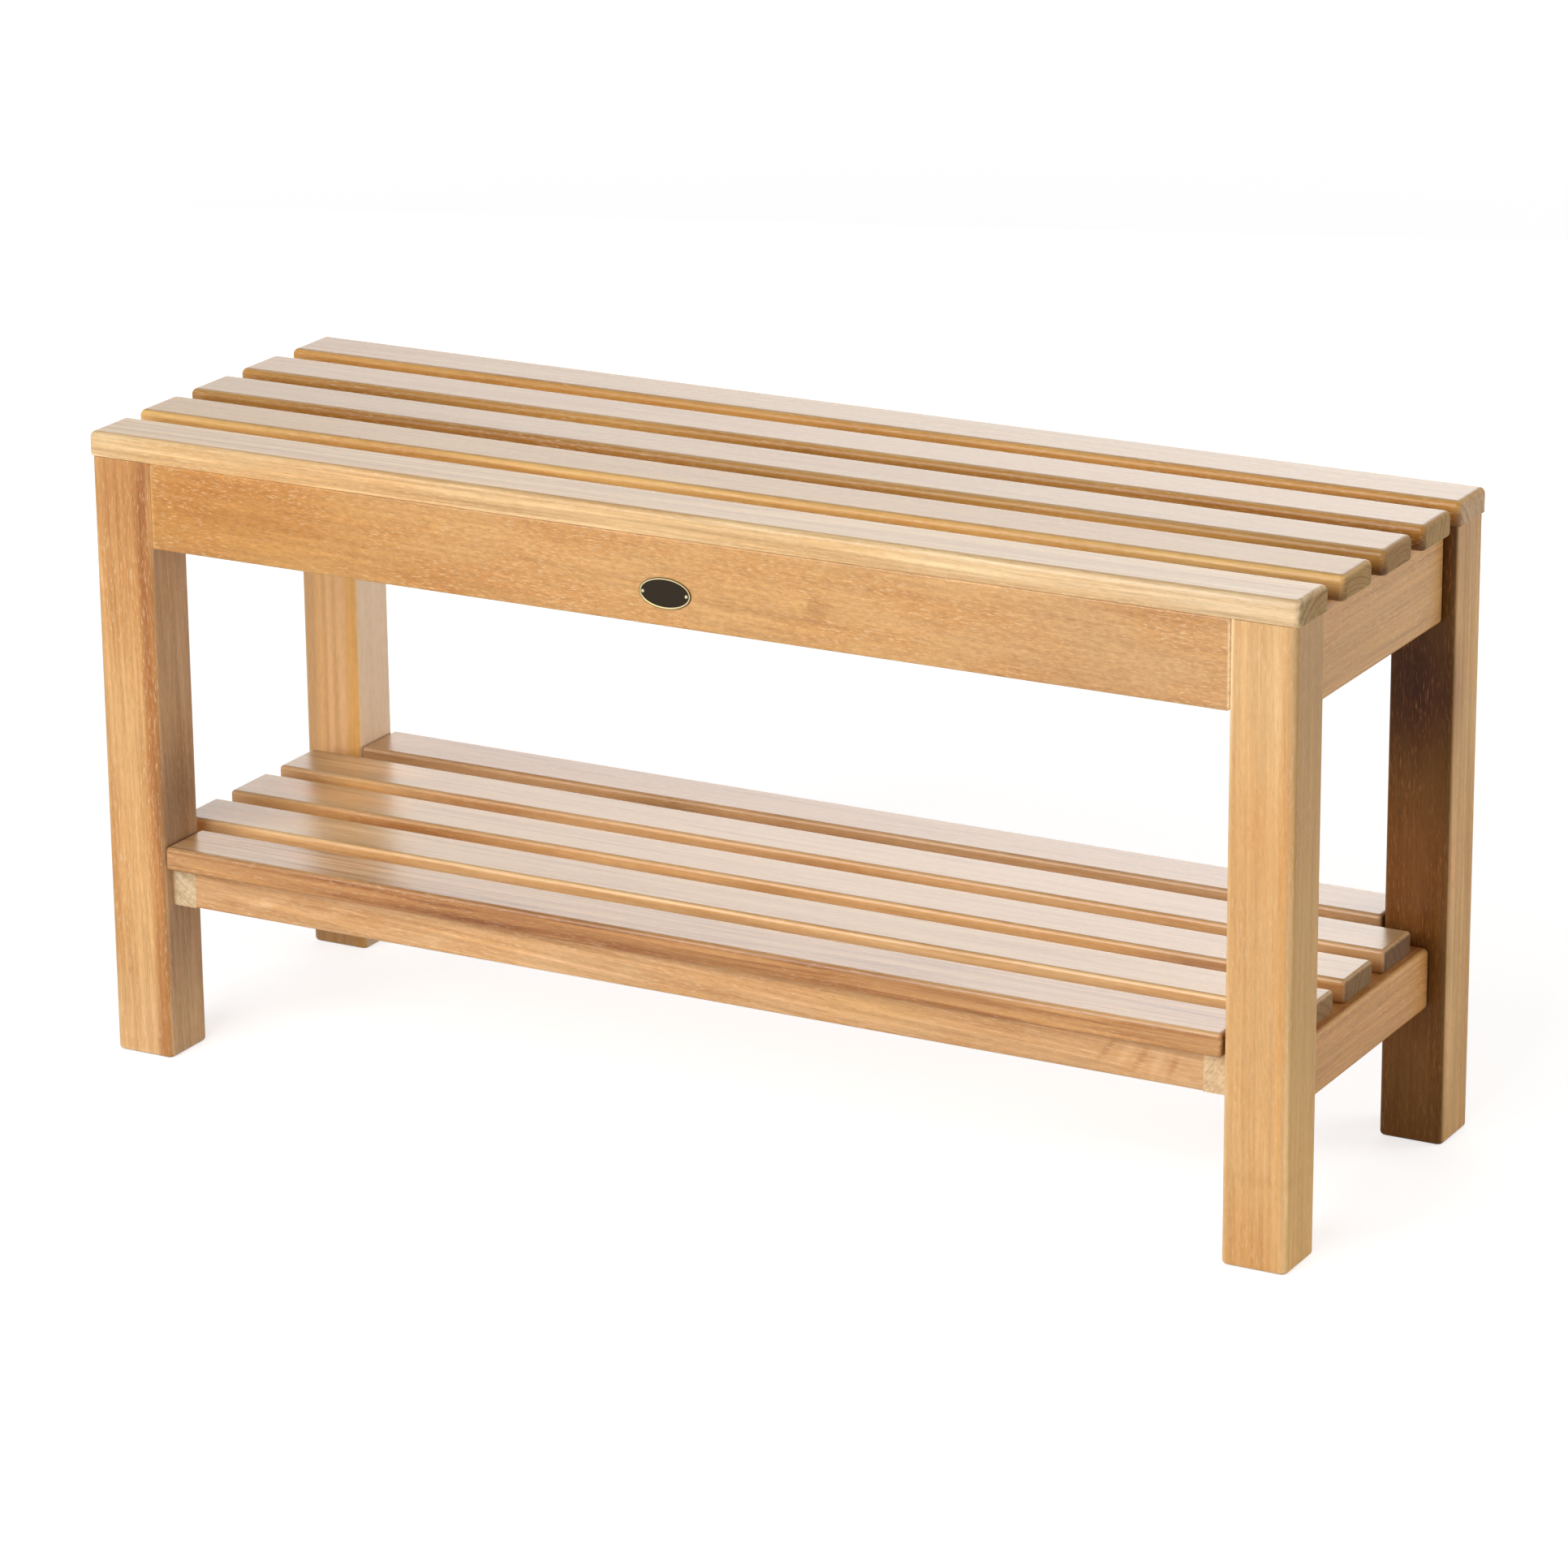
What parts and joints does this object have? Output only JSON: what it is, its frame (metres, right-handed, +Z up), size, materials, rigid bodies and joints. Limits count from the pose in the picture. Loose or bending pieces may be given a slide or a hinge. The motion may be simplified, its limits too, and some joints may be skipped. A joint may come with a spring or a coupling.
{
  "type": "shower bench",
  "caption": "Slatted teak shower bench with square legs, mortised aprons and a slatted lower shelf, for sitting and for storing towels and bottles.",
  "frame": {"origin": "on the floor under the middle of the bench", "axes": "+X along the bench, to the right seen from the front; +Y from front to back; +Z up"},
  "size_m": [0.922, 0.3048, 0.4572],
  "materials": {
    "teak": "satin oiled",
    "dowel_wood": "plain turned",
    "stainless": "satin",
    "badge_enamel": "black enamel in a polished brass rim",
    "badge_brass": "polished"
  },
  "bodies": {
    "root": {"leg_front_left": "teak", "leg_front_right": "teak", "leg_rear_left": "teak", "leg_rear_right": "teak", "apron_front": "teak", "apron_rear": "teak", "apron_left": "teak", "apron_right": "teak", "seat_slat_1": "teak", "seat_slat_2": "teak", "seat_slat_3": "teak", "seat_slat_4": "teak", "seat_slat_5": "teak", "shelf_slat_1": "teak", "shelf_slat_2": "teak", "shelf_slat_3": "teak", "shelf_slat_4": "teak", "shelf_slat_5": "teak", "stretcher_left": "teak", "stretcher_right": "teak", "shelf_cleat_left": "teak", "shelf_cleat_right": "teak", "seat_cleat_left": "teak", "seat_cleat_right": "teak", "shelf_rail_front": "teak", "shelf_rail_rear": "teak", "seat_brace": "teak", "shelf_brace": "teak", "leg_dowels": "dowel_wood", "rail_dowels": "dowel_wood", "seat_screws": "stainless", "shelf_screws": "stainless", "seat_cleat_screws": "stainless", "shelf_cleat_screws": "stainless", "badge_plate": "badge_enamel", "badge_pins": "badge_brass"}
  },
  "joints": []
}
